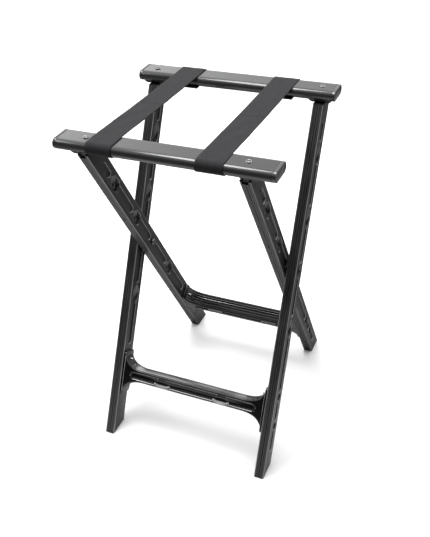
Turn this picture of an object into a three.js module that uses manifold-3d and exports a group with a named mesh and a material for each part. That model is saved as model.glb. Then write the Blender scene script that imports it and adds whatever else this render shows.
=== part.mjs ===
// Folding luggage rack: two leaning frames of blow-moulded plastic legs cross at a pivot on each
// side. Each frame has an extruded rail on top and a moulded cross brace below, and two webbing
// straps tie the rails together. The outer frame's rail is at the rear, the inner frame's in front.
//
// Millimetres, +Z up. Origin on the floor under the middle of the rack, X along the rails and
// Y from front to rear. Each frame is built in a group with its rail at +Y, and the inner
// frame's group is then turned half a turn about Z. A leg's own coordinates are x across its
// thickness, y across its width and z along it, with the pivot at zero.

import * as THREE from 'three';
import { mergeVertices } from 'three/addons/utils/BufferGeometryUtils.js';
import Module from 'manifold-3d';

// Overall
const RAIL_LENGTH = 470;
const RAIL_TOP = 788;              // height of the rails' flat tops
const RAIL_SPACING = 370;          // between the rails' centre lines with the rack open
const PIVOT_HEIGHT = 425;

// Fits
const TOUCH_GAP = 0.3;             // between faces that touch
const HOLE_CLEARANCE = 0.4;        // round a screw, pin or bolt in its hole
const PIVOT_GAP = 3;               // between an outer and an inner leg

// Rails, hollow extrusions with fully round noses, closed by a cap at each end
const RAIL_WIDTH = 60;
const RAIL_THICKNESS = 23;
const RAIL_WALL = 2.6;
const RAIL_GROOVE_WIDTH = 4;
const RAIL_GROOVE_DEPTH = 1.2;
const RAIL_GROOVE_OFFSET = 13;     // from the rail's centre line, on its underside
const RAIL_OVERHANG = 35;          // from an outer leg's centre plane to the rail's end
const CAP_LENGTH = 7;
const CAP_PLUG_LENGTH = 14;
const CAP_EDGE = 1.5;
const CAP_RIM = 3;
const CAP_RECESS = 1;

// Legs
const LEG_WIDTH = 48;              // across the lean
const LEG_THICKNESS = 24;          // along X
const LEG_EDGE = 3;
const CHANNEL_WIDTH = 14;
const CHANNEL_DEPTH = 3.2;
const CHANNEL_BELOW_TOP = 48;
const CHANNEL_ABOVE_FOOT = 50;     // on the outer face
const CHANNEL_ABOVE_BRACE = 16;    // on the inner face
const CHANNEL_OVERLAP = 4;         // run of a channel into a pocket's end
const POCKET_WIDTH = 26;
const POCKET_LENGTH = 48;
const POCKET_DEPTH = 9;
const POCKET_BELOW_TOP = 119;
const POCKET_ABOVE_PIVOT = 118;
const POCKET_BELOW_PIVOT = 136;
const PIVOT_LAND = 17;             // radius of the plain face round the pivot
const VENT_ABOVE_PIVOT = 142;
const VENT_RADIUS = 2.6;
const VENT_DEPTH = 5;

// Saddles, which seat the rail on the leg and reach down inside it with a tongue
const SADDLE_OUTBOARD = 15;        // past the leg's outer face
const SADDLE_INBOARD = { outer: 13, inner: 0 };   // past the leg's inner face, on each frame
const SADDLE_SLOPE = 8;            // run of the sloping ends
const SADDLE_WIDTH = 42;
const SADDLE_THICKNESS = 6;
const TONGUE_THICKNESS = 13;
const TONGUE_WIDTH = 28;
const TONGUE_LENGTH = 66;
const NOTCH_WIDTH = 14;
const NOTCH_HEIGHT = 9;
const NOTCH_DEPTH = 4;

// Fasteners: shank radius and length, head radius and height
const RAIL_SCREW = { radius: 2.5, length: 45, head: 6, height: 1.8, socket: 2 };
const TONGUE_PIN = { radius: 2, length: 18, head: 3.6, height: 1.4 };
const TONGUE_PIN_BELOW_TOP = 52;
const BRACE_SCREW = { radius: 2.4, length: 30, head: 5, height: 3 };
const BRACE_SCREW_SPACING = 70;
const COUNTERBORE_RADIUS = 8;
const COUNTERBORE_DEPTH = 11;
const COUNTERBORE_LAND = 4;        // plain ring round a counterbore
const HEAD_RIM = 0.5;              // straight part of a head's height
const PAN_TOP = 0.75;              // flat top of a pan head, as a share of its radius
const DOME_TOP = 0.6;              // flat top of a domed head, as a share of its radius
const STRAP_SCREW = { radius: 1.8, length: 7, head: 4.2, height: 1.5 };
const STRAP_SCREW_SPACING = 36;
const PIVOT_BOLT = { radius: 4, head: 10, height: 4 };
const PIVOT_WASHER_RADIUS = 12;
const PIVOT_NUT = { radius: 8, height: 6, bore: 4 };

// Cross braces
const BRACE_ABOVE_FOOT = 148.5;    // brace centre line, along the leg from the floor
const BRACE_DEPTH = 40;
const BRACE_HEIGHT = 30;           // of the bar between the flares
const BRACE_EDGE = 4;
const FLARE_HEIGHT = 96;
const FLARE_LENGTH = 58;
const FLARE_EASE = 0.55;           // share of a flare over which it leaves the bar
const FLARE_TUCK = 8;              // how sharply a flare turns up against its plate
const PLATE_HEIGHT = 110;
const PLATE_THICKNESS = 5;
const PLATE_WIDTH = 43;
const PLATE_CORNER = 9;
const BRACE_GROOVE_WIDTH = 11;
const BRACE_GROOVE_DEPTH = 4;
const BRACE_GROOVE_END = 20;       // plain land between the groove and the plate
const EYE_LENGTH = 58;
const EYE_WIDTH = 19;
const EYE_DEPTH = 10;
const EYE_SPACING = 156;

// Straps, each placed by how far its edge lies inside the legs' inner faces at each rail
const STRAP_WIDTH = 58;
const STRAP_THICKNESS = 1.6;
const STRAP_TAIL = 14;             // past the inner nose's centre, under the rail
const STRAPS = [
  { side: 'left', insideInnerLeg: 1, insideOuterLeg: 44 },
  { side: 'right', insideInnerLeg: 27, insideOuterLeg: 47 },
];

// Facets
const BOLT_FACETS = 18;
const SCREW_FACETS = 10;
const NOSE_FACETS = 6;
const BEVEL_FACETS = 2;
const POCKET_FACETS = 10;
const POCKET_RINGS = 6;
const EYE_FACETS = 14;
const EYE_RINGS = 6;

// Worked out from the sizes above
const RAIL_Y = RAIL_SPACING / 2;
const RAIL_AXIS = RAIL_TOP - RAIL_THICKNESS / 2;
const RAIL_BOTTOM = RAIL_TOP - RAIL_THICKNESS;
const NOSE_RADIUS = RAIL_THICKNESS / 2;
const NOSE_OFFSET = RAIL_WIDTH / 2 - NOSE_RADIUS;
const SADDLE_TOP = RAIL_BOTTOM - TOUCH_GAP;
const LEG_TOP = SADDLE_TOP - SADDLE_THICKNESS - TOUCH_GAP;
const OUTER_LEG_X = RAIL_LENGTH / 2 - RAIL_OVERHANG;
const INNER_LEG_X = OUTER_LEG_X - LEG_THICKNESS - PIVOT_GAP;
const LEAN = Math.atan(RAIL_Y / (RAIL_BOTTOM - PIVOT_HEIGHT));
const LEG_UPPER = alongLeg(LEG_TOP, 0);
const LEG_LOWER = alongLeg(0, 0);
const PIN_ALONG = LEG_UPPER - TONGUE_PIN_BELOW_TOP;
const BRACE_ALONG = LEG_LOWER + BRACE_ABOVE_FOOT;
const POCKETS_ALONG = [LEG_UPPER - POCKET_BELOW_TOP, POCKET_ABOVE_PIVOT, -POCKET_BELOW_PIVOT];
const BRACE_SCREWS_ALONG = [-1, 1].map((end) => BRACE_ALONG + end * BRACE_SCREW_SPACING / 2);
const STRAP_SCREWS_ACROSS = [-1, 1].map((end) => end * STRAP_SCREW_SPACING / 2);

const FINISHES = {
  leg: { color: 0x2b2b2c, roughness: 0.5, metalness: 0 },
  brace: { color: 0x141414, roughness: 0.25, metalness: 0 },
  rail: { color: 0x4a4b4e, roughness: 0.45, metalness: 0 },
  cap: { color: 0x232324, roughness: 0.5, metalness: 0 },
  saddle: { color: 0x161616, roughness: 0.5, metalness: 0 },
  strap: { color: 0x2e2e31, roughness: 0.85, metalness: 0 },
  spacer: { color: 0x1c1c1c, roughness: 0.6, metalness: 0 },
  steel: { color: 0xb9b9bb, roughness: 0.3, metalness: 1 },
};

const wasm = await Module();
wasm.setup();

// Where a line along the leg at width y reaches a height above the floor.
function alongLeg(height, y) {
  return (height - PIVOT_HEIGHT + y * Math.sin(LEAN)) / Math.cos(LEAN);
}

// Solids

function toSolid(geometry) {
  const bare = geometry.clone();
  bare.deleteAttribute('normal');
  bare.deleteAttribute('uv');
  const merged = mergeVertices(bare, 1e-4);
  return new wasm.Manifold(new wasm.Mesh({
    numProp: 3,
    vertProperties: new Float32Array(merged.attributes.position.array),
    triVerts: new Uint32Array(merged.index.array),
  }));
}

function toGeometry(solid) {
  const mesh = solid.getMesh();
  const geometry = new THREE.BufferGeometry();
  geometry.setAttribute('position', new THREE.BufferAttribute(mesh.vertProperties, 3));
  geometry.setIndex(new THREE.BufferAttribute(mesh.triVerts, 1));
  return geometry;
}

function cut(geometry, tools) {
  return toGeometry(tools.reduce((solid, tool) => solid.subtract(toSolid(tool)), toSolid(geometry)));
}

function join(geometry, pieces) {
  return toGeometry(pieces.reduce((solid, piece) => solid.add(toSolid(piece)), toSolid(geometry)));
}

// A shape extruded along +Z and centred on z = 0, with its outer edges rounded by edge.
function extrude(shape, length, { edge = 0, facets = NOSE_FACETS } = {}) {
  const geometry = new THREE.ExtrudeGeometry(shape, {
    depth: length - 2 * edge,
    curveSegments: facets,
    bevelEnabled: edge > 0,
    bevelThickness: edge,
    bevelSize: edge,
    bevelOffset: -edge,
    bevelSegments: BEVEL_FACETS,
  });
  return geometry.translate(0, 0, edge - length / 2);
}

// A shape drawn in (y, z), extruded along X.
function extrudeAlongX(shape, length, options) {
  const turn = new THREE.Matrix4().makeBasis(
    new THREE.Vector3(0, 1, 0), new THREE.Vector3(0, 0, 1), new THREE.Vector3(1, 0, 0));
  return extrude(shape, length, options).applyMatrix4(turn);
}

// A shape drawn in (x, z), extruded along Y.
function extrudeAlongY(shape, length, options) {
  return extrude(shape, length, options).rotateX(Math.PI / 2);
}

// Round bars from one end to the other, along X at (y, z) and along Z at (x, y).
function barAlongX(radius, x0, x1, y, z, facets = SCREW_FACETS) {
  const bar = new THREE.CylinderGeometry(radius, radius, Math.abs(x1 - x0), facets);
  return bar.rotateZ(Math.PI / 2).translate((x0 + x1) / 2, y, z);
}

function barAlongZ(radius, z0, z1, x, y, facets = SCREW_FACETS) {
  const bar = new THREE.CylinderGeometry(radius, radius, Math.abs(z1 - z0), facets);
  return bar.rotateX(Math.PI / 2).translate(x, y, (z0 + z1) / 2);
}

// A straight slot with round ends, along its longer side.
function slotShape(width, height) {
  const radius = Math.min(width, height) / 2;
  const reach = Math.abs(width - height) / 2;
  const turn = width > height ? 0 : Math.PI / 2;
  const x = reach * Math.cos(turn);
  const y = reach * Math.sin(turn);
  const shape = new THREE.Shape();
  shape.absarc(x, y, radius, turn - Math.PI / 2, turn + Math.PI / 2);
  shape.absarc(-x, -y, radius, turn + Math.PI / 2, turn + 1.5 * Math.PI);
  return shape;
}

function roundedBoxShape(width, height, corner) {
  const x = width / 2 - corner;
  const y = height / 2 - corner;
  const shape = new THREE.Shape();
  shape.absarc(x, -y, corner, -Math.PI / 2, 0);
  shape.absarc(x, y, corner, 0, Math.PI / 2);
  shape.absarc(-x, y, corner, Math.PI / 2, Math.PI);
  shape.absarc(-x, -y, corner, Math.PI, 1.5 * Math.PI);
  return shape;
}

function lathe(points, facets) {
  const profile = points.map(([radius, z]) => new THREE.Vector2(radius, z));
  return new THREE.LatheGeometry(profile, facets).rotateX(Math.PI / 2);
}

// A fastener along Z with the underside of its domed head at z = 0 and its shank below. A
// socket radius sinks a round drive into the head.
function fastenerGeometry({ radius, length, head, height, socket }, facets = SCREW_FACETS) {
  const points = [[0, -length], [radius, -length], [radius, 0], [head, 0], [head, height * HEAD_RIM]];
  if (socket) {
    points.push([head * PAN_TOP, height], [socket, height], [socket, height / 2], [0, height / 2]);
  } else {
    points.push([head * DOME_TOP, height], [0, height]);
  }
  return lathe(points, facets);
}

// Rails, about the rail's own axis

function railOutline(inset) {
  return slotShape(RAIL_WIDTH - 2 * inset, RAIL_THICKNESS - 2 * inset);
}

function railGeometry(legXs, strapXs) {
  const length = RAIL_LENGTH - 2 * (CAP_LENGTH + TOUCH_GAP);
  const outline = railOutline(0);
  outline.holes.push(railOutline(RAIL_WALL));
  const grooves = [-1, 1].map((side) => {
    const groove = new THREE.BoxGeometry(RAIL_LENGTH, RAIL_GROOVE_WIDTH, 2 * RAIL_GROOVE_DEPTH);
    return groove.translate(0, side * RAIL_GROOVE_OFFSET, -NOSE_RADIUS);
  });
  const railHoles = legXs.map((x) => {
    return barAlongZ(RAIL_SCREW.radius + HOLE_CLEARANCE, -RAIL_THICKNESS, RAIL_THICKNESS, x, 0);
  });
  const strapHoles = strapXs.flatMap((x) => STRAP_SCREWS_ACROSS.map((across) => {
    return barAlongZ(STRAP_SCREW.radius + HOLE_CLEARANCE, -RAIL_THICKNESS, 0, x + across, 0);
  }));
  return cut(extrudeAlongX(outline, length), [...grooves, ...railHoles, ...strapHoles]);
}

// The cap's outer face looks along +X and lies at x = 0.
function capGeometry() {
  const flange = extrudeAlongX(railOutline(0), CAP_LENGTH, { edge: CAP_EDGE });
  const plugLength = CAP_LENGTH + CAP_PLUG_LENGTH - CAP_RECESS - CAP_EDGE;
  const plug = extrudeAlongX(railOutline(RAIL_WALL + TOUCH_GAP), plugLength);
  const recess = extrudeAlongX(railOutline(CAP_RIM), 2 * CAP_RECESS);
  flange.translate(-CAP_LENGTH / 2, 0, 0);
  plug.translate(plugLength / 2 - CAP_LENGTH - CAP_PLUG_LENGTH, 0, 0);
  return cut(join(flange, [plug]), [recess]);
}

// Saddle, with the top of its plate at z = 0. Its outboard end is at +X times outward, and its
// tongue leans with the leg.
function saddleGeometry(outward, inboard) {
  const outer = LEG_THICKNESS / 2 + SADDLE_OUTBOARD;
  const inner = LEG_THICKNESS / 2 + inboard;
  const slope = Math.min(SADDLE_SLOPE, inboard);
  const side = new THREE.Shape();
  side.moveTo(-outward * inner, 0);
  side.lineTo(-outward * (inner - slope), -SADDLE_THICKNESS);
  side.lineTo(outward * (outer - SADDLE_SLOPE), -SADDLE_THICKNESS);
  side.lineTo(outward * outer, 0);
  const plate = extrudeAlongY(side, SADDLE_WIDTH);

  const tongue = new THREE.BoxGeometry(TONGUE_THICKNESS, TONGUE_WIDTH, TONGUE_LENGTH + TONGUE_WIDTH);
  tongue.translate(0, 0, (TONGUE_WIDTH - TONGUE_LENGTH) / 2).rotateX(-LEAN);
  tongue.translate(0, 0, -SADDLE_THICKNESS / 2);
  const above = new THREE.BoxGeometry(SADDLE_WIDTH, 2 * SADDLE_WIDTH, 2 * TONGUE_WIDTH);
  above.translate(0, 0, TONGUE_WIDTH);

  const screwDepth = RAIL_SCREW.length - RAIL_THICKNESS + HOLE_CLEARANCE;
  const screwHole = barAlongZ(RAIL_SCREW.radius + HOLE_CLEARANCE, -screwDepth, RAIL_THICKNESS, 0, 0);
  const pinDrop = PIN_ALONG - saddleTopOnLeg().z;
  const pinHole = barAlongX(
    TONGUE_PIN.radius + HOLE_CLEARANCE, -LEG_THICKNESS, LEG_THICKNESS,
    pinDrop * Math.sin(LEAN), pinDrop * Math.cos(LEAN));
  return cut(join(plate, [cut(tongue, [above])]), [screwHole, pinHole]);
}

// The top of the saddle's plate, on the rail's centre line, in the leg's coordinates.
function saddleTopOnLeg() {
  const rise = SADDLE_TOP - PIVOT_HEIGHT;
  return {
    y: RAIL_Y * Math.cos(LEAN) - rise * Math.sin(LEAN),
    z: RAIL_Y * Math.sin(LEAN) + rise * Math.cos(LEAN),
  };
}

// Legs, with the outer face at +X times outward

function channel(x, low, high) {
  const groove = slotShape(CHANNEL_WIDTH, high - low);
  return extrudeAlongX(groove, 2 * CHANNEL_DEPTH, { facets: 3 }).translate(x, 0, (low + high) / 2);
}

function pocket(x, z) {
  const scoop = new THREE.SphereGeometry(1, POCKET_FACETS, POCKET_RINGS).rotateZ(Math.PI / 2);
  return scoop.scale(POCKET_DEPTH, POCKET_WIDTH / 2, POCKET_LENGTH / 2).translate(x, 0, z);
}

// A face's channels run from near the leg's top to its foot or brace, and stop short of every
// pocket, of the pivot's land and, on the outer face, of the counterbores.
function channelSpans(isOuterFace) {
  const stops = POCKETS_ALONG.map((z) => [z, POCKET_LENGTH / 2 - CHANNEL_OVERLAP]);
  stops.push([0, PIVOT_LAND]);
  let foot = BRACE_ALONG + PLATE_HEIGHT / 2 + CHANNEL_ABOVE_BRACE;
  if (isOuterFace) {
    BRACE_SCREWS_ALONG.forEach((z) => stops.push([z, COUNTERBORE_RADIUS + COUNTERBORE_LAND]));
    foot = LEG_LOWER + CHANNEL_ABOVE_FOOT;
  }
  stops.sort((a, b) => b[0] - a[0]);
  const tops = [LEG_UPPER - CHANNEL_BELOW_TOP, ...stops.map(([z, reach]) => z - reach)];
  const lows = [...stops.map(([z, reach]) => z + reach), foot];
  return tops.map((top, i) => [lows[i], top]).filter(([low, high]) => high - low > CHANNEL_WIDTH);
}

function legBlank() {
  const half = LEG_WIDTH / 2;
  const outline = new THREE.Shape();
  outline.moveTo(-half, alongLeg(0, -half));
  outline.lineTo(half, alongLeg(0, half));
  outline.lineTo(half, alongLeg(LEG_TOP, half));
  outline.lineTo(-half, alongLeg(LEG_TOP, -half));
  return extrudeAlongX(outline, LEG_THICKNESS, { edge: LEG_EDGE });
}

// The opening in the leg's top end that takes the saddle's tongue.
function tongueSocket() {
  const top = saddleTopOnLeg();
  const depth = TONGUE_LENGTH + SADDLE_THICKNESS / 2 * Math.cos(LEAN) + TOUCH_GAP;
  const thickness = TONGUE_THICKNESS + 2 * TOUCH_GAP;
  const socket = new THREE.BoxGeometry(thickness, TONGUE_WIDTH + 2 * TOUCH_GAP, 2 * depth);
  return socket.translate(0, top.y + SADDLE_THICKNESS / 2 * Math.sin(LEAN), top.z);
}

function legGeometry(outward) {
  const face = LEG_THICKNESS / 2;
  const narrow = LEG_WIDTH / 2;
  const tools = [tongueSocket()];
  [1, -1].forEach((side) => {
    channelSpans(side === outward).forEach(([low, high]) => tools.push(channel(side * face, low, high)));
    POCKETS_ALONG.forEach((z) => tools.push(pocket(side * face, z)));
  });
  BRACE_SCREWS_ALONG.forEach((z) => {
    const floor = outward * (face - COUNTERBORE_DEPTH);
    tools.push(barAlongX(COUNTERBORE_RADIUS, floor, outward * LEG_THICKNESS, 0, z, BOLT_FACETS));
    tools.push(barAlongX(BRACE_SCREW.radius + HOLE_CLEARANCE, -LEG_THICKNESS, LEG_THICKNESS, 0, z));
  });
  const pivotHole = PIVOT_BOLT.radius + HOLE_CLEARANCE;
  tools.push(barAlongX(pivotHole, -LEG_THICKNESS, LEG_THICKNESS, 0, 0, BOLT_FACETS));
  tools.push(barAlongX(TONGUE_PIN.radius + HOLE_CLEARANCE, 0, outward * LEG_THICKNESS, 0, PIN_ALONG));
  const notch = new THREE.BoxGeometry(NOTCH_WIDTH, 2 * NOTCH_DEPTH, 2 * NOTCH_HEIGHT);
  tools.push(notch.translate(0, narrow, alongLeg(LEG_TOP, narrow)));
  const vent = new THREE.CylinderGeometry(VENT_RADIUS, VENT_RADIUS, 2 * VENT_DEPTH, SCREW_FACETS);
  tools.push(vent.translate(0, narrow, VENT_ABOVE_PIVOT));
  return cut(legBlank(), tools);
}

// Cross brace, about its own middle. Its grooved face looks towards -Y.

function braceOutline(length) {
  const end = (length - PLATE_THICKNESS) / 2;
  const start = end - FLARE_LENGTH;
  const ease = start + FLARE_LENGTH * FLARE_EASE;
  const bar = BRACE_HEIGHT / 2;
  const tuck = end - FLARE_TUCK;
  const flare = FLARE_HEIGHT / 2;
  const outline = new THREE.Shape();
  outline.moveTo(-start, bar);
  outline.lineTo(start, bar);
  outline.bezierCurveTo(ease, bar, tuck, bar + FLARE_TUCK, end, flare);
  outline.lineTo(end, -flare);
  outline.bezierCurveTo(tuck, -bar - FLARE_TUCK, ease, -bar, start, -bar);
  outline.lineTo(-start, -bar);
  outline.bezierCurveTo(-ease, -bar, -tuck, -bar - FLARE_TUCK, -end, -flare);
  outline.lineTo(-end, flare);
  outline.bezierCurveTo(-tuck, bar + FLARE_TUCK, -ease, bar, -start, bar);
  return outline;
}

function braceGeometry(length) {
  const front = -BRACE_DEPTH / 2;
  const body = extrudeAlongY(braceOutline(length), BRACE_DEPTH, { edge: BRACE_EDGE });
  const plates = [-1, 1].map((side) => {
    const shape = roundedBoxShape(PLATE_WIDTH, PLATE_HEIGHT, PLATE_CORNER);
    const plate = extrudeAlongX(shape, PLATE_THICKNESS, { facets: 3 });
    return plate.translate(side * (length - PLATE_THICKNESS) / 2, 0, 0);
  });
  const grooveLength = length - 2 * (PLATE_THICKNESS + BRACE_GROOVE_END);
  const groove = extrudeAlongY(slotShape(grooveLength, BRACE_GROOVE_WIDTH), 2 * BRACE_GROOVE_DEPTH);
  const eyes = [-1, 1].map((side) => {
    const eye = new THREE.SphereGeometry(1, EYE_FACETS, EYE_RINGS).rotateX(Math.PI / 2);
    eye.scale(EYE_LENGTH / 2, EYE_DEPTH, EYE_WIDTH / 2);
    return eye.translate(side * EYE_SPACING / 2, front, 0);
  });
  const bite = BRACE_SCREW.length - (LEG_THICKNESS - COUNTERBORE_DEPTH) + HOLE_CLEARANCE;
  const screwHoles = [-1, 1].flatMap((side) => [-1, 1].map((end) => {
    const z = end * BRACE_SCREW_SPACING / 2;
    const tip = side * (length / 2 - bite);
    return barAlongX(BRACE_SCREW.radius + HOLE_CLEARANCE, tip, side * length, 0, z);
  }));
  return cut(join(body, plates), [groove.translate(0, front, 0), ...eyes, ...screwHoles]);
}

// Straps

// The end of a strap on its rail: from above the inner nose, round the outer nose at +Y and
// back under the rail. Drawn about the rail's axis.
function strapWrapGeometry() {
  const inside = NOSE_RADIUS + TOUCH_GAP;
  const outside = inside + STRAP_THICKNESS;
  const section = new THREE.Shape();
  section.moveTo(-NOSE_OFFSET, inside);
  section.absarc(NOSE_OFFSET, 0, inside, Math.PI / 2, -Math.PI / 2, true);
  section.lineTo(-NOSE_OFFSET - STRAP_TAIL, -inside);
  section.lineTo(-NOSE_OFFSET - STRAP_TAIL, -outside);
  section.absarc(NOSE_OFFSET, 0, outside, -Math.PI / 2, Math.PI / 2, false);
  section.lineTo(-NOSE_OFFSET, outside);
  const holes = STRAP_SCREWS_ACROSS.map((x) => {
    return barAlongZ(STRAP_SCREW.radius + HOLE_CLEARANCE, -RAIL_THICKNESS, 0, x, 0);
  });
  return cut(extrudeAlongX(section, STRAP_WIDTH), holes);
}

// Half of the span between the rails, from above the inner nose to the middle of the rack.
function strapHalfGeometry(xAtRail, xAtMiddle) {
  const railEnd = RAIL_Y - NOSE_OFFSET - TOUCH_GAP;
  const middleEnd = TOUCH_GAP / 2;
  const plan = new THREE.Shape();
  plan.moveTo(xAtMiddle - STRAP_WIDTH / 2, middleEnd);
  plan.lineTo(xAtMiddle + STRAP_WIDTH / 2, middleEnd);
  plan.lineTo(xAtRail + STRAP_WIDTH / 2, railEnd);
  plan.lineTo(xAtRail - STRAP_WIDTH / 2, railEnd);
  const bottom = RAIL_TOP + TOUCH_GAP;
  return extrude(plan, STRAP_THICKNESS).translate(0, 0, bottom + STRAP_THICKNESS / 2);
}

// A strap's centre line at the front rail, the rear rail and half way, in the rack's X.
function strapCentres({ side, insideInnerLeg, insideOuterLeg }) {
  const sign = side === 'left' ? -1 : 1;
  const edge = LEG_THICKNESS / 2 + STRAP_WIDTH / 2;
  const front = sign * (INNER_LEG_X - edge - insideInnerLeg);
  const rear = sign * (OUTER_LEG_X - edge - insideOuterLeg);
  return { front, rear, middle: (front + rear) / 2 };
}

// Assembly

function place(group, name, geometry, finish, x = 0, y = 0, z = 0) {
  const mesh = new THREE.Mesh(geometry, new THREE.MeshStandardMaterial(FINISHES[finish]));
  mesh.name = name;
  mesh.position.set(x, y, z);
  group.add(mesh);
  return mesh;
}

function addRail(group, rail, legX, sides, strapXs) {
  place(group, `${rail}_rail`, railGeometry([-legX, legX], strapXs), 'rail', 0, RAIL_Y, RAIL_AXIS);
  sides.forEach(([side, sign]) => {
    const name = `${rail}_rail_cap_${side}`;
    const cap = place(group, name, capGeometry(), 'cap', sign * RAIL_LENGTH / 2, RAIL_Y, RAIL_AXIS);
    cap.rotation.y = sign > 0 ? 0 : Math.PI;
    const screw = fastenerGeometry(RAIL_SCREW, BOLT_FACETS);
    const height = RAIL_TOP + TOUCH_GAP;
    place(group, `${rail}_rail_screw_${side}`, screw, 'steel', sign * legX, RAIL_Y, height);
  });
}

function addStrap(group, rail, side, xAtRail, xAtMiddle) {
  const name = `${side}_strap_${rail}`;
  place(group, `${name}_wrap`, strapWrapGeometry(), 'strap', xAtRail, RAIL_Y, RAIL_AXIS);
  place(group, `${name}_half`, strapHalfGeometry(xAtRail, xAtMiddle), 'strap');
  const height = RAIL_BOTTOM - STRAP_THICKNESS - 2 * TOUCH_GAP;
  STRAP_SCREWS_ACROSS.forEach((across, i) => {
    const screw = fastenerGeometry(STRAP_SCREW).rotateX(Math.PI);
    place(group, `${name}_screw_${i + 1}`, screw, 'steel', xAtRail + across, RAIL_Y, height);
  });
}

function addLeg(leaning, frame, side, sign, legX) {
  const face = sign * (legX + LEG_THICKNESS / 2);
  place(leaning, `${frame}_leg_${side}`, legGeometry(sign), 'leg', sign * legX);
  const pin = fastenerGeometry(TONGUE_PIN).rotateY(sign * Math.PI / 2);
  place(leaning, `${frame}_leg_pin_${side}`, pin, 'steel', face + sign * TOUCH_GAP, 0, PIN_ALONG);
  BRACE_SCREWS_ALONG.forEach((z, i) => {
    const screw = fastenerGeometry(BRACE_SCREW).rotateY(sign * Math.PI / 2);
    const x = face - sign * (COUNTERBORE_DEPTH - TOUCH_GAP);
    place(leaning, `${frame}_brace_screw_${side}_${['lower', 'upper'][i]}`, screw, 'steel', x, 0, z);
  });
}

// One frame with its rail at +Y. In the group that is turned half a turn, +X is the rack's left.
function frameGroup({ frame, rail, legX, turned }) {
  const group = new THREE.Group();
  const leaning = new THREE.Group();
  leaning.position.z = PIVOT_HEIGHT;
  leaning.rotation.x = -LEAN;
  group.add(leaning);
  group.rotation.z = turned ? Math.PI : 0;

  const rightSign = turned ? -1 : 1;
  const sides = [['left', -rightSign], ['right', rightSign]];
  const straps = STRAPS.map((strap) => ({ side: strap.side, ...strapCentres(strap) }));
  addRail(group, rail, legX, sides, straps.map((strap) => rightSign * strap[rail]));
  straps.forEach((strap) => {
    addStrap(group, rail, strap.side, rightSign * strap[rail], rightSign * strap.middle);
  });
  sides.forEach(([side, sign]) => {
    const saddle = saddleGeometry(sign, SADDLE_INBOARD[frame]);
    place(group, `${rail}_saddle_${side}`, saddle, 'saddle', sign * legX, RAIL_Y, SADDLE_TOP);
    addLeg(leaning, frame, side, sign, legX);
  });
  const braceLength = 2 * legX - LEG_THICKNESS - 2 * TOUCH_GAP;
  const brace = place(leaning, `${frame}_brace`, braceGeometry(braceLength), 'brace', 0, 0, BRACE_ALONG);
  brace.rotation.z = turned ? Math.PI : 0;
  return group;
}

// Each pivot is a bolt from outside, a spacing washer between the legs and a domed nut inside.
function pivotGroup(side, sign) {
  const group = new THREE.Group();
  group.position.z = PIVOT_HEIGHT;
  const bore = PIVOT_BOLT.radius + TOUCH_GAP;
  const outerFace = OUTER_LEG_X + LEG_THICKNESS / 2 + TOUCH_GAP;
  const nutFace = INNER_LEG_X - LEG_THICKNESS / 2 - TOUCH_GAP;
  const length = outerFace - nutFace + PIVOT_NUT.bore - TOUCH_GAP;
  const bolt = fastenerGeometry({ ...PIVOT_BOLT, length }, BOLT_FACETS).rotateY(sign * Math.PI / 2);
  place(group, `pivot_bolt_${side}`, bolt, 'steel', sign * outerFace);

  const half = PIVOT_GAP / 2 - TOUCH_GAP;
  const ring = lathe([[bore, -half], [PIVOT_WASHER_RADIUS, -half], [PIVOT_WASHER_RADIUS, half],
    [bore, half], [bore, -half]], BOLT_FACETS).rotateY(Math.PI / 2);
  place(group, `pivot_washer_${side}`, ring, 'spacer', sign * (OUTER_LEG_X + INNER_LEG_X) / 2);

  const nut = lathe([[0, PIVOT_NUT.bore], [bore, PIVOT_NUT.bore], [bore, 0], [PIVOT_NUT.radius, 0],
    [PIVOT_NUT.radius, PIVOT_NUT.height / 2], [PIVOT_NUT.radius * DOME_TOP, PIVOT_NUT.height],
    [0, PIVOT_NUT.height]], BOLT_FACETS).rotateY(-sign * Math.PI / 2);
  place(group, `pivot_nut_${side}`, nut, 'steel', sign * nutFace);
  return group;
}

const rack = new THREE.Group();
rack.add(frameGroup({ frame: 'outer', rail: 'rear', legX: OUTER_LEG_X, turned: false }));
rack.add(frameGroup({ frame: 'inner', rail: 'front', legX: INNER_LEG_X, turned: true }));
rack.add(pivotGroup('left', -1));
rack.add(pivotGroup('right', 1));

export default rack;
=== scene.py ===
import math

import bmesh
import bpy
from mathutils import Matrix, Vector


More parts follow.
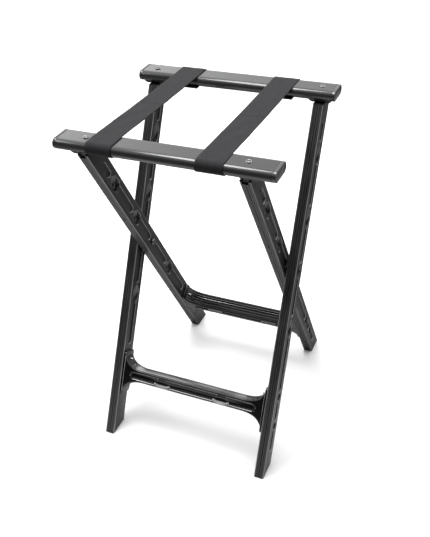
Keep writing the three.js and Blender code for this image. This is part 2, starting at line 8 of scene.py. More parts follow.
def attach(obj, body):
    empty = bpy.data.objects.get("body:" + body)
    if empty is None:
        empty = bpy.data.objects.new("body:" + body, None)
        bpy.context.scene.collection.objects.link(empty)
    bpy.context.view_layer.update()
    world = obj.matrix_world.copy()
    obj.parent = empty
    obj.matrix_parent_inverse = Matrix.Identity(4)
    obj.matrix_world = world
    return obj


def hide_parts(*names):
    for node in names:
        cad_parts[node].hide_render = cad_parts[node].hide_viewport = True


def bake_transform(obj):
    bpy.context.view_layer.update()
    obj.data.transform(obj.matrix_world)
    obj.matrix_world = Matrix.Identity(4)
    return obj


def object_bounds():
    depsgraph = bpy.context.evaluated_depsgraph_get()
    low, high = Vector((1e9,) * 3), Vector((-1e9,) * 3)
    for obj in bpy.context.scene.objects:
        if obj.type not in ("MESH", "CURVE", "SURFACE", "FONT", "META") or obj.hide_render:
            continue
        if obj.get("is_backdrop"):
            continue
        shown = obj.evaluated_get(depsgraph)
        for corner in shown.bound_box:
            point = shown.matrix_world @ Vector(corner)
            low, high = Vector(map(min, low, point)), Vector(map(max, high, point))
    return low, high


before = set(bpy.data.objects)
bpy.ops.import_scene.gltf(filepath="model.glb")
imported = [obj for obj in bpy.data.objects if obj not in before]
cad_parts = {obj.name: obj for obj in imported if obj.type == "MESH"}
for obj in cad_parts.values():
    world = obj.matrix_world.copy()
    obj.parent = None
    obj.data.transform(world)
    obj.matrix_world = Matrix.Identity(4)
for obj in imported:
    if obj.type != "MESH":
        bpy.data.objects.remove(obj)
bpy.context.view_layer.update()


# Studio: a plain pale floor under a bright ceiling and rear wall, with a dim room behind the
# camera. One large soft lamp hangs over the rack and a smaller one stands at its left. The camera sees
# the floor plain pale; for light bounced onto the rack its colour is a painted pool of light, bright in
# front of the rack and fading behind it.
def add_node(tree, kind, values=None, links=None, **settings):
    node = tree.nodes.new(kind)
    for key, value in settings.items():
        setattr(node, key, value)
    for key, value in (values or {}).items():
        node.inputs[key].default_value = value
    for key, source in (links or {}).items():
        tree.links.new(source, node.inputs[key])
    return node


bpy.context.scene.view_settings.view_transform = "Standard"
room = bpy.data.worlds.new("studio_room")
bpy.context.scene.world = room
room.use_nodes = True
tree = room.node_tree
tree.nodes.clear()
direction = add_node(tree, "ShaderNodeTexCoord")
parts = add_node(tree, "ShaderNodeSeparateXYZ", links={"Vector": direction.outputs["Generated"]})
raised = add_node(tree, "ShaderNodeMath", {1: 0.9}, {0: parts.outputs["Z"]}, operation="MULTIPLY")
rearward = add_node(tree, "ShaderNodeMath", links={0: parts.outputs["Y"], 1: raised.outputs[0]},
                    operation="ADD")
brightness = add_node(tree, "ShaderNodeMapRange",
                      {"From Min": -0.35, "From Max": 0.60, "To Min": 0.05, "To Max": 1.35},
                      {"Value": rearward.outputs[0]}, interpolation_type="SMOOTHSTEP")
lit = add_node(tree, "ShaderNodeBackground", {"Color": (1, 1, 1, 1)},
               {"Strength": brightness.outputs["Result"]})
plain = add_node(tree, "ShaderNodeBackground", {"Color": (1, 1, 1, 1), "Strength": 0.93})
ray = add_node(tree, "ShaderNodeLightPath")
both = add_node(tree, "ShaderNodeMixShader", links={
    0: ray.outputs["Is Camera Ray"], 1: lit.outputs[0], 2: plain.outputs[0]})
add_node(tree, "ShaderNodeOutputWorld", links={"Surface": both.outputs[0]})

bpy.ops.object.select_all(action="DESELECT")
bpy.ops.mesh.primitive_plane_add(size=40)
floor = bpy.context.object
floor.name = "studio_floor"
paint = bpy.data.materials.new("pale_floor")
paint.use_nodes = True
paint.node_tree.nodes.clear()
pale = add_node(paint.node_tree, "ShaderNodeBsdfDiffuse", {"Color": (0.93, 0.93, 0.93, 1)})
spot = add_node(paint.node_tree, "ShaderNodeTexCoord")
# Painted pool of light: for all but camera rays the floor's colour is bright in front of the rack and
# fades behind it.
reach = add_node(paint.node_tree, "ShaderNodeVectorMath", {1: (0, -0.7, 0)},
                 {0: spot.outputs["Object"]}, operation="DISTANCE")
fading = add_node(paint.node_tree, "ShaderNodeMapRange",
                  {"From Min": 0.5, "From Max": 1.15, "To Min": 0.66, "To Max": 0.16},
                  {"Value": reach.outputs["Value"]}, interpolation_type="SMOOTHSTEP")
dusky = add_node(paint.node_tree, "ShaderNodeBsdfDiffuse", links={"Color": fading.outputs["Result"]})
seen = add_node(paint.node_tree, "ShaderNodeLightPath")
surface = add_node(paint.node_tree, "ShaderNodeMixShader", links={
    0: seen.outputs["Is Camera Ray"], 1: dusky.outputs[0], 2: pale.outputs[0]})
add_node(paint.node_tree, "ShaderNodeOutputMaterial", links={"Surface": surface.outputs[0]})
floor.data.materials.append(paint)
floor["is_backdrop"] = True

for name, place, size, power in (
        ("lamp_above", (-0.5, 0.2, 3.2), 1.5, 84),
        ("lamp_left", (-2.6, -0.5, 2.0), 0.9, 15)):
    lamp = bpy.data.lights.new(name, "AREA")
    lamp.size = size
    lamp.energy = power
    holder = bpy.data.objects.new(name, lamp)
    bpy.context.scene.collection.objects.link(holder)
    holder.location = place
    holder.rotation_euler = (Vector((0, 0, 0.4)) - Vector(place)).to_track_quat("-Z", "Y").to_euler()


# Camera: standing to the right of the front rail and looking down on the rack, held with a
# slight roll.
CAMERA_PLACE = (0.6411, -1.3357, 1.4438)
CAMERA_TURN = math.radians(25.58)
CAMERA_RISE = math.radians(35.64)
CAMERA_ROLL = math.radians(3.91)

back = Vector((math.sin(CAMERA_TURN) * math.cos(CAMERA_RISE),
               -math.cos(CAMERA_TURN) * math.cos(CAMERA_RISE), math.sin(CAMERA_RISE)))
level = (-back).cross(Vector((0, 0, 1))).normalized()
down = (-back).cross(level)
across = math.cos(CAMERA_ROLL) * level + math.sin(CAMERA_ROLL) * down
upward = math.sin(CAMERA_ROLL) * level - math.cos(CAMERA_ROLL) * down
view = bpy.data.cameras.new("studio_camera")
view.sensor_width = 36
view.lens = 51.21
camera = bpy.data.objects.new("studio_camera", view)
bpy.context.scene.collection.objects.link(camera)
camera.matrix_world = Matrix.Translation(CAMERA_PLACE) @ Matrix(
    (across, upward, back)).transposed().to_4x4()
bpy.context.scene.camera = camera


# Legs: blow-moulded plastic, each wide face with a long channel broken by three deep pockets,
# each narrow face with a parting line and fine mould lines. The feet are cut level.
LEG_WIDTH = 0.048
LEG_THICKNESS = 0.024
GAP = 0.0003
PIVOT_HEIGHT = 0.425
HALF_SPREAD = 0.185
LEAN_RISE = 0.340
LEAN = math.atan(HALF_SPREAD / LEAN_RISE)
LEG_TOP = 0.7584
LEG_UPPER = (LEG_TOP - PIVOT_HEIGHT) / math.cos(LEAN)
LEG_LOWER = -PIVOT_HEIGHT / math.cos(LEAN)
LEG_X = {"outer": 0.200, "inner": 0.173}
BRACE_ALONG = LEG_LOWER + 0.1485
BRACE_SCREWS = (BRACE_ALONG - 0.035, BRACE_ALONG + 0.035)
POCKETS = (LEG_UPPER - 0.119, 0.118, -0.136)
CHANNEL_WIDTH = 0.0155
CHANNEL_DEPTH = 0.0036
CHANNEL_RIM = 0.0011
CHANNEL_BELOW_TOP = 0.048
CHANNEL_ABOVE_FOOT = 0.050
CHANNEL_ABOVE_BRACE = 0.016
PLATE_HALF_HEIGHT = 0.055
LEG_CORNER = 0.0032
SOLE_CORNER = 0.0018
LINE_HALF_WIDTH = 0.0011
PIT_BELOW = 0.0125
VENT_RADIUS = 0.0026
VENT_ALONG = 0.142
UP_ON_LEG = (0, -math.sin(LEAN), math.cos(LEAN))


def block(name, size, centre=(0, 0, 0)):
    bpy.ops.object.select_all(action="DESELECT")
    bpy.ops.mesh.primitive_cube_add(size=1, location=centre)
    piece = bpy.context.object
    piece.name = name
    piece.scale = size
    bpy.ops.object.transform_apply(location=True, rotation=True, scale=True)
    return piece


def edit(piece):
    bpy.ops.object.select_all(action="DESELECT")
    bpy.context.view_layer.objects.active = piece
    piece.select_set(True)
    bpy.ops.object.mode_set(mode="EDIT")


def leave_edit():
    bpy.ops.object.mode_set(mode="OBJECT")


def pick(piece, kind, wanted):
    bpy.ops.mesh.select_mode(type=kind)
    bpy.ops.mesh.select_all(action="DESELECT")
    mesh = bmesh.from_edit_mesh(piece.data)
    if kind == "VERT":
        chosen = [v for v in mesh.verts if wanted(v.co)]
    elif kind == "EDGE":
        chosen = [e for e in mesh.edges if wanted(e.verts[0].co, e.verts[1].co)]
    else:
        chosen = [f for f in mesh.faces if wanted(f.calc_center_median(), f.normal)]
    for item in chosen:
        item.select_set(True)
    mesh.select_flush_mode()
    bmesh.update_edit_mesh(piece.data)


def round_edges(piece, wanted, width, segments):
    edit(piece)
    pick(piece, "EDGE", wanted)
    bpy.ops.mesh.bevel(offset=width, segments=segments, affect="EDGES", clamp_overlap=True)
    leave_edit()


def slice_across(places, axis):
    """Cuts the piece being edited right across, at each place along an axis."""
    normal = [float(i == axis) for i in range(3)]
    for place in places:
        bpy.ops.mesh.select_all(action="SELECT")
        bpy.ops.mesh.bisect(plane_co=[place * n for n in normal], plane_no=normal)


def along(axis):
    return lambda a, b: abs((b - a).normalized()[axis]) > 0.999 and (b - a).length > 1e-6


def slot_cutter(width, length, depth, rim=0.0007):
    """A slot with round ends along Z, cut into a face at x = 0 from +X, with a chamfered rim."""
    cutter = block("slot_cutter", (2 * depth, width, length))
    round_edges(cutter, along(0), width * 0.49, 8)
    edit(cutter)
    slice_across((-rim,), 0)
    reach = 2 * (depth + rim)
    pick(cutter, "VERT", lambda v: v.x > depth / 2)
    bpy.ops.transform.resize(value=(1, 1 + reach / width, 1 + reach / length),
                             center_override=(0, 0, 0))
    pick(cutter, "VERT", lambda v: v.x < -depth * 0.9)
    bpy.ops.transform.resize(value=(1, 0.8, 1 - 0.2 * width / length), center_override=(0, 0, 0))
    leave_edit()
    return cutter


def carve(piece, cutter, place=(0, 0, 0), turn=(0, 0, 0)):
    cutter.location = place
    cutter.rotation_euler = turn
    bpy.ops.object.select_all(action="DESELECT")
    bpy.context.view_layer.objects.active = piece
    piece.select_set(True)
    hollow = piece.modifiers.new("hollow", "BOOLEAN")
    hollow.operation = "DIFFERENCE"
    hollow.solver = "EXACT"
    hollow.object = cutter
    bpy.ops.object.modifier_apply(modifier=hollow.name)
    bpy.data.objects.remove(cutter)


def round_cutter(radius, depth, sides=24):
    bpy.ops.object.select_all(action="DESELECT")
    bpy.ops.mesh.primitive_cylinder_add(vertices=sides, radius=radius, depth=2 * depth,
                                        rotation=(0, math.pi / 2, 0))
    cutter = bpy.context.object
    bpy.ops.object.transform_apply(location=True, rotation=True, scale=True)
    return cutter


def pocket_cutter():
    """Two sloping floors meet in a valley that deepens downwards from a pointed top."""
    cutter = slot_cutter(0.026, 0.048, 0.0085, 0.0009)
    edit(cutter)
    for side in (-1, 1):
        bpy.ops.mesh.select_all(action="SELECT")
        bpy.ops.mesh.bisect(plane_co=(0, 0, 0.025), plane_no=(-0.90, side * 0.33, 0.29),
                            use_fill=True, clear_outer=True)
    leave_edit()
    return cutter


def pit_cutter():
    bpy.ops.object.select_all(action="DESELECT")
    bpy.ops.mesh.primitive_uv_sphere_add(segments=24, ring_count=12, radius=1)
    cutter = bpy.context.object
    cutter.scale = (0.0108, 0.0085, 0.0100)
    bpy.ops.object.transform_apply(location=True, rotation=True, scale=True)
    return cutter


def channel_spans(outer_face):
    """Lengths of channel between a face's pockets, pivot and screws, each as its low and high end."""
    stops = [(z, 0.028, 0.020) for z in POCKETS] + [(0, 0.017, 0.017)]
    foot = BRACE_ALONG + PLATE_HALF_HEIGHT + CHANNEL_ABOVE_BRACE
    if outer_face:
        stops += [(z, 0.012, 0.012) for z in BRACE_SCREWS]
        foot = LEG_LOWER + CHANNEL_ABOVE_FOOT
    stops.sort(reverse=True)
    tops = [LEG_UPPER - CHANNEL_BELOW_TOP] + [z - below for z, above, below in stops]
    lows = [z + above for z, above, below in stops] + [foot]
    return [(low, top) for low, top in zip(lows, tops) if top - low > CHANNEL_WIDTH]


def lay_grain(piece):
    """Flattens every face onto the plane it looks along, so that grain runs up the piece."""
    mesh = piece.data
    layer = mesh.uv_layers.new(name="grain")
    for face in mesh.polygons:
        normal = [abs(n) for n in face.normal]
        u, v = ((1, 2), (0, 2), (0, 1))[normal.index(max(normal))]
        for loop in face.loop_indices:
            point = mesh.vertices[mesh.loops[loop].vertex_index].co
            layer.data[loop].uv = (point[u] + 0.1 * normal[0], point[v])


def mark_edges(piece, narrow, soft, wanted=lambda normal, centre: True,
               ramp=lambda normal, centre: False):
    """Marks the crests of rounded edges, the rims of hollows and sloping floors, where a painted
    highlight goes.
    """
    squarest, ramp_highlight = 0.85, 0.45
    mesh = bmesh.new()
    mesh.from_mesh(piece.data)
    marks = []
    for face in mesh.faces:
        centre = face.calc_center_median()
        longest = max(edge.calc_length() for edge in face.edges)
        bend = sum(edge.calc_face_angle_signed(0) * edge.calc_length() for edge in face.edges)
        thin = face.calc_area() < narrow * longest and bend > 0.1 * longest
        crest = thin and wanted(face.normal, centre)
        slanted = max(abs(n) for n in face.normal) < squarest
        marks.append(max(crest * (1.0 if slanted else soft), ramp_highlight * ramp(face.normal, centre)))
    mesh.free()
    piece.data.attributes.new("edge", "FLOAT", "FACE").data.foreach_set("value", marks)


def smooth(piece, degrees=35):
    bpy.ops.object.select_all(action="DESELECT")
    bpy.context.view_layer.objects.active = piece
    piece.select_set(True)
    bpy.ops.object.shade_smooth_by_angle(angle=math.radians(degrees))


leg = block("leg_pattern", (LEG_THICKNESS, LEG_WIDTH, 1.1))
round_edges(leg, along(2), LEG_CORNER, 3)
edit(leg)
bpy.ops.mesh.select_all(action="SELECT")
bpy.ops.mesh.bisect(plane_co=(0, 0, LEG_UPPER), plane_no=UP_ON_LEG, use_fill=True, clear_outer=True)
bpy.ops.mesh.select_all(action="SELECT")
bpy.ops.mesh.bisect(plane_co=(0, 0, LEG_LOWER), plane_no=UP_ON_LEG, use_fill=True, clear_inner=True)
leave_edit()
up = Vector(UP_ON_LEG)
sole = LEG_LOWER * math.cos(LEAN)
round_edges(leg, lambda a, b: abs(a.dot(up) - sole) < 1e-5 and abs(b.dot(up) - sole) < 1e-5,
            SOLE_CORNER, 3)
edit(leg)
for place, depth in ((0, 0.0014), (-0.0050, 0.0008), (0.0050, 0.0008)):
    slice_across((place - LINE_HALF_WIDTH, place, place + LINE_HALF_WIDTH), 0)
    pick(leg, "VERT", lambda v: abs(v.x - place) < 1e-5 and abs(v.y) > 0.0235)
    bpy.ops.transform.resize(value=(1, 1 - depth / (LEG_WIDTH / 2), 1), center_override=(0, 0, 0))
leave_edit()
face = LEG_THICKNESS / 2
for side in (1, -1):
    turn = (0, 0, 0 if side > 0 else math.pi)
    for low, top in channel_spans(side > 0):
        carve(leg, slot_cutter(CHANNEL_WIDTH, top - low, CHANNEL_DEPTH, CHANNEL_RIM),
              (side * face, 0, (low + top) / 2), turn)
    for z in POCKETS:
        carve(leg, pocket_cutter(), (side * face, 0, z), turn)
        carve(leg, pit_cutter(), (side * face, 0, z - PIT_BELOW), turn)
for z in BRACE_SCREWS:
    carve(leg, round_cutter(0.008, 0.011), (face, 0, z))
carve(leg, block("notch", (0.014, 0.008, 0.018)), (0, LEG_WIDTH / 2, LEG_UPPER + 0.013))
vent = round_cutter(VENT_RADIUS, 0.005, 16)
carve(leg, vent, (0, LEG_WIDTH / 2, VENT_ALONG), (0, 0, math.pi / 2))


def is_pocket_point(a, b):
    """The sloping edges on a wide face that meet at the pointed top of a pocket."""
    on_face = max(abs(abs(a.x) - face), abs(abs(b.x) - face)) < 1e-5
    sloping = 0.2 < abs((b - a).normalized().y) < 0.99
    within = max(abs(a.y), abs(b.y)) < 0.0131
    near_top = any(z + 0.008 < min(a.z, b.z) and max(a.z, b.z) < z + 0.0255 for z in POCKETS)
    return on_face and sloping and within and near_top and (b - a).length > 0.003


round_edges(leg, is_pocket_point, 0.0015, 1)
lay_grain(leg)
# Painted highlights: light lines on the leg's edge crests and rims, and lighter sloping floors at the
# pockets' pointed tops.
mark_edges(leg, 0.0029, 0.08, ramp=lambda normal, centre: (
    0.25 < abs(normal.y) < 0.45 and 0.2 < abs(normal.z) < 0.4))
smooth(leg)


def grain_group():
    """Fine moulded or drawn grain as a height, a mottled tone, and a mottled painted highlight on
    marked edges.
    """
    group = bpy.data.node_groups.new("plastic_grain", "ShaderNodeTree")
    group.interface.new_socket("Vector", in_out="INPUT", socket_type="NodeSocketVector")
    for name in ("Grain", "Mottle", "Edge"):
        group.interface.new_socket(name, in_out="INPUT", socket_type="NodeSocketFloat")
    for name in ("Height", "Tone", "Highlight"):
        group.interface.new_socket(name, in_out="OUTPUT", socket_type="NodeSocketFloat")
    start = add_node(group, "NodeGroupInput")
    fine = add_node(group, "ShaderNodeTexNoise", {"Detail": 2.0, "Roughness": 0.6}, {
        "Vector": start.outputs["Vector"], "Scale": start.outputs["Grain"]})
    broad = add_node(group, "ShaderNodeTexNoise", {"Detail": 4.0, "Roughness": 0.6}, {
        "Vector": start.outputs["Vector"], "Scale": start.outputs["Mottle"]})
    painted_highlight = add_node(group, "ShaderNodeMapRange",
                      {"From Min": 0.3, "From Max": 0.65, "To Min": 0.45, "To Max": 1.0},
                      {"Value": broad.outputs["Fac"]})
    # The mottle scales the marked edges into a painted highlight.
    wear_and_highlight = add_node(group, "ShaderNodeMath", links={
        0: painted_highlight.outputs["Result"], 1: start.outputs["Edge"]}, operation="MULTIPLY")
    add_node(group, "NodeGroupOutput", links={
        "Height": fine.outputs["Fac"], "Tone": broad.outputs["Fac"], "Highlight": wear_and_highlight.outputs[0]})
    return group


plastic_grain = grain_group()


def plastic(name, dark, light, edge, gloss, dull, stretch, grain, mottle, bump, coat=0.0,
            place="Object"):
    """Plastic that varies with its mottle from dark and glossy to light and dull, with a painted
    highlight on marked edges.
    """
    material = bpy.data.materials.new(name)
    material.use_nodes = True
    tree = material.node_tree
    shader = tree.nodes["Principled BSDF"]
    where = add_node(tree, "ShaderNodeTexCoord")
    mapping = add_node(tree, "ShaderNodeMapping", {"Scale": stretch}, {"Vector": where.outputs[place]})
    grained = add_node(tree, "ShaderNodeGroup", node_tree=plastic_grain)
    grained.inputs["Grain"].default_value = grain
    grained.inputs["Mottle"].default_value = mottle
    tree.links.new(mapping.outputs["Vector"], grained.inputs["Vector"])
    marked = add_node(tree, "ShaderNodeAttribute", attribute_name="edge")
    tree.links.new(marked.outputs["Fac"], grained.inputs["Edge"])
    tint = add_node(tree, "ShaderNodeMix", {6: (*dark, 1), 7: (*light, 1)},
                    {0: grained.outputs["Tone"]}, data_type="RGBA")
    dulled = add_node(tree, "ShaderNodeMapRange",
                      {"From Min": 0.3, "From Max": 0.7, "To Min": gloss, "To Max": dull},
                      {"Value": grained.outputs["Tone"]})
    # Painted highlight: the base colour is lifted towards the edge grey where edges are marked, and
    # those edges are made glossier.
    painted_highlight = add_node(tree, "ShaderNodeMix", {7: (edge, edge, edge, 1)},
                      {0: grained.outputs["Highlight"], 6: tint.outputs[2]}, data_type="RGBA")
    polished = add_node(tree, "ShaderNodeMix", {3: 0.22},
                        {0: grained.outputs["Highlight"], 2: dulled.outputs["Result"]}, data_type="FLOAT")
    raised = add_node(tree, "ShaderNodeBump", {"Strength": 1.0, "Distance": bump},
                      {"Height": grained.outputs["Height"]})
    tree.links.new(painted_highlight.outputs[2], shader.inputs["Base Color"])
    tree.links.new(polished.outputs[0], shader.inputs["Roughness"])
    tree.links.new(raised.outputs["Normal"], shader.inputs["Normal"])
    shader.inputs["Coat Weight"].default_value = coat
    shader.inputs["Coat Roughness"].default_value = 0.12
    return material


leg_plastic = plastic("moulded_charcoal", (0.0045, 0.0045, 0.0047), (0.0185, 0.0185, 0.0190),
                      edge=0.36, gloss=0.28, dull=0.44, stretch=(6.0, 0.6, 1.0),
                      grain=160, mottle=9, bump=0.00006, place="UV")


def stand(pattern, name, frame_name, side):
    """A copy of a pattern made on a right outer leg, turned over and leaned for its own leg."""
    piece = pattern.copy()
    piece.data = pattern.data.copy()
    piece.name = name
    bpy.context.scene.collection.objects.link(piece)
    turned = frame_name == "inner"
    outward = 1 if side == "right" else -1
    mirrored = (outward > 0) == turned
    piece.scale = (-1 if mirrored else 1, 1, 1)
    piece.rotation_euler = (-LEAN, 0, math.pi if turned else 0)
    piece.location = (outward * LEG_X[frame_name], 0, PIVOT_HEIGHT)
    bpy.ops.object.select_all(action="DESELECT")
    bpy.context.view_layer.objects.active = piece
    piece.select_set(True)
    bpy.ops.object.transform_apply(location=True, rotation=True, scale=True)
    if mirrored:
        edit(piece)
        bpy.ops.mesh.select_all(action="SELECT")
        bpy.ops.mesh.normals_make_consistent(inside=False)
        leave_edit()
    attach(piece, frame_name + "_frame")
    return piece


SIDES = ("left", "right")
FRAMES = ("outer", "inner")
for frame_name in FRAMES:
    for side in SIDES:
        piece = stand(leg, f"{frame_name}_{side}_leg", frame_name, side)
        piece.data.materials.append(leg_plastic)
        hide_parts(f"{frame_name}_leg_{side}")
bpy.data.objects.remove(leg)


# Fasteners through the legs: dull zinc pins near the tops, pan-headed brace screws
# sunk in counterbores and, at each pivot, a domed bolt, a spacing washer and a domed nut.
def turned_head(name, profile, sides=32):
    """A round piece along +X from a profile of (radius, x), spun up from its middle."""
    bpy.ops.object.select_all(action="DESELECT")
    bpy.ops.mesh.primitive_circle_add(vertices=sides, radius=profile[0][0], fill_type="NGON",
                                      rotation=(0, math.pi / 2, 0))
    piece = bpy.context.object
    piece.name = name
    bpy.ops.object.transform_apply(location=True, rotation=True, scale=True)
    edit(piece)
    bpy.ops.mesh.select_all(action="SELECT")
    bpy.ops.transform.translate(value=(profile[0][1], 0, 0))
    for (r0, x0), (r1, x1) in zip(profile, profile[1:]):
        bpy.ops.mesh.extrude_region_move(TRANSFORM_OT_translate={"value": (x1 - x0, 0, 0)})
        bpy.ops.transform.resize(value=(1, r1 / r0, r1 / r0), center_override=(x1, 0, 0))
    bpy.ops.mesh.select_all(action="SELECT")
    bpy.ops.mesh.normals_make_consistent(inside=False)
    leave_edit()
    smooth(piece, 40)
    return piece


def steel(name, colour, gloss, dull):
    material = bpy.data.materials.new(name)
    material.use_nodes = True
    tree = material.node_tree
    shader = tree.nodes["Principled BSDF"]
    where = add_node(tree, "ShaderNodeTexCoord")
    grained = add_node(tree, "ShaderNodeGroup", node_tree=plastic_grain)
    grained.inputs["Grain"].default_value = 900
    grained.inputs["Mottle"].default_value = 260
    tree.links.new(where.outputs["Object"], grained.inputs["Vector"])
    tint = add_node(tree, "ShaderNodeMix", {6: (*[c * 0.7 for c in colour], 1), 7: (*colour, 1)},
                    {0: grained.outputs["Tone"]}, data_type="RGBA")
    dulled = add_node(tree, "ShaderNodeMapRange", {"To Min": gloss, "To Max": dull},
                      {"Value": grained.outputs["Tone"]})
    raised = add_node(tree, "ShaderNodeBump", {"Strength": 1.0, "Distance": 0.00002},
                      {"Height": grained.outputs["Height"]})
    tree.links.new(tint.outputs[2], shader.inputs["Base Color"])
    tree.links.new(dulled.outputs["Result"], shader.inputs["Roughness"])
    tree.links.new(raised.outputs["Normal"], shader.inputs["Normal"])
    shader.inputs["Metallic"].default_value = 1.0
    return material


plated_steel = steel("plated_steel", (0.50, 0.49, 0.48), gloss=0.26, dull=0.42)
dull_zinc = steel("dull_zinc", (0.20, 0.20, 0.205), gloss=0.22, dull=0.42)
blackened_steel = steel("blackened_steel", (0.09, 0.09, 0.095), gloss=0.28, dull=0.45)

pin = turned_head("pin_pattern", [(0.0019, -0.017), (0.002, 0), (0.0035, 0), (0.0036, 0.0006),
                                  (0.0026, 0.0013), (0.0008, 0.0014)], 20)
brace_screw = turned_head("brace_screw_pattern", [
    (0.0015, -0.0290), (0.0023, -0.027), (0.0023, 0), (0.0046, 0), (0.0050, 0.0008), (0.0048, 0.0022),
    (0.0036, 0.0029), (0.0022, 0.0030), (0.0018, 0.0014), (0.0004, 0.0012)], 24)
pin_along = LEG_UPPER - 0.052
SCREW_SEAT = 0.0107
for frame_name in FRAMES:
    for side in SIDES:
        for name, pattern, x, z, metal, node in (
                ("pin", pin, face + GAP, pin_along, dull_zinc, f"{frame_name}_leg_pin_{side}"),
                ("brace_screw_low", brace_screw, face - SCREW_SEAT, BRACE_SCREWS[0], plated_steel,
                 f"{frame_name}_brace_screw_{side}_lower"),
                ("brace_screw_high", brace_screw, face - SCREW_SEAT, BRACE_SCREWS[1], plated_steel,
                 f"{frame_name}_brace_screw_{side}_upper")):
            placed = pattern.copy()
            placed.data = pattern.data.copy()
            placed.data.transform(Matrix.Translation((x, 0, z)))
            piece = stand(placed, f"{frame_name}_{side}_{name}", frame_name, side)
            bpy.data.objects.remove(placed)
            piece.data.materials.append(metal)
            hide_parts(node)
bpy.data.objects.remove(pin)
bpy.data.objects.remove(brace_screw)

washer_plastic = plastic("washer_black", (0.010, 0.010, 0.010), (0.018, 0.018, 0.018),
                         edge=0.05, gloss=0.45, dull=0.6, stretch=(1, 1, 1),
                         grain=700, mottle=60, bump=0.00003)
outer_face = LEG_X["outer"] + face
inner_face = LEG_X["inner"] - face
for side, outward in (("left", -1), ("right", 1)):
    for name, profile, x, facing, material, node, slot in (
            ("bolt", [(0.0035, -0.054), (0.0040, -0.053), (0.0040, 0), (0.0096, 0), (0.0100, 0.0005),
                      (0.0097, 0.0016), (0.0080, 0.0031), (0.0055, 0.0039), (0.0030, 0.0040),
                      (0.0026, 0.0024), (0.0005, 0.0022)],
             outer_face + GAP, 1, blackened_steel, "bolt", "steel"),
            ("nut", [(0.0045, 0.0002), (0.0076, 0), (0.0080, 0.0005), (0.0080, 0.0030),
                     (0.0068, 0.0048), (0.0045, 0.0058), (0.0010, 0.0060)],
             inner_face - GAP, -1, dull_zinc, "nut", "steel"),
            ("washer", [(0.0116, -0.0012), (0.0120, -0.0008), (0.0120, 0.0008), (0.0116, 0.0012)],
             (LEG_X["outer"] + LEG_X["inner"]) / 2, 1, washer_plastic, "washer", "spacer")):
        piece = turned_head(f"{side}_pivot_{name}", profile)
        if name == "washer":
            carve(piece, round_cutter(0.0043, 0.01))
            smooth(piece, 40)
        turn = Matrix.Rotation(0 if outward * facing > 0 else math.pi, 4, "Z")
        piece.data.transform(Matrix.Translation((outward * x, 0, PIVOT_HEIGHT)) @ turn)
        piece.data.materials.append(material)
        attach(piece, "outer_frame")
        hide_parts(f"pivot_{node}_{side}")


# Cross braces: glossy black mouldings screwed between each pair of legs. A crowned, ribbed bar
# flares up and down into an end plate, and its front has a stepped groove and two deep eyes.
BRACE_DEPTH = 0.040
BRACE_HEIGHT = 0.030
FLARE_HEIGHT = 0.096
FLARE_LENGTH = 0.058
PLATE = (0.005, 0.043, 0.110)
brace_plastic = plastic("gloss_black", (0.002, 0.002, 0.0021), (0.004, 0.004, 0.0042),
                        edge=0.75, gloss=0.14, dull=0.24, stretch=(0.5, 1, 1),
                        grain=300, mottle=12, bump=0.00002, coat=0.2)
brace_plastic.node_tree.nodes["Principled BSDF"].inputs["Specular IOR Level"].default_value = 0.45
FLARE_STEPS = 14
VALLEYS = (-0.0130, -0.0065, 0, 0.0065, 0.0130)
VALLEY_HALF_WIDTH = 0.0024
VALLEY_DEPTH = 0.0020
CROWN_RISE = 0.0034
CROWN_HALF_WIDTH = 0.0158
GROOVE_END = 0.020
EYE_OUT = 0.078
EYE_DOWN = 0.0025


def flare_point(t, start, end):
    """Distance along the brace and half height at a share t of the flare."""
    bar, tip = BRACE_HEIGHT / 2, FLARE_HEIGHT / 2
    xs = (start, start + 0.55 * FLARE_LENGTH, end - 0.008, end)
    zs = (bar, bar, bar + 0.008, tip)
    weights = ((1 - t) ** 3, 3 * t * (1 - t) ** 2, 3 * t * t * (1 - t), t ** 3)
    return sum(w * x for w, x in zip(weights, xs)), sum(w * z for w, z in zip(weights, zs))


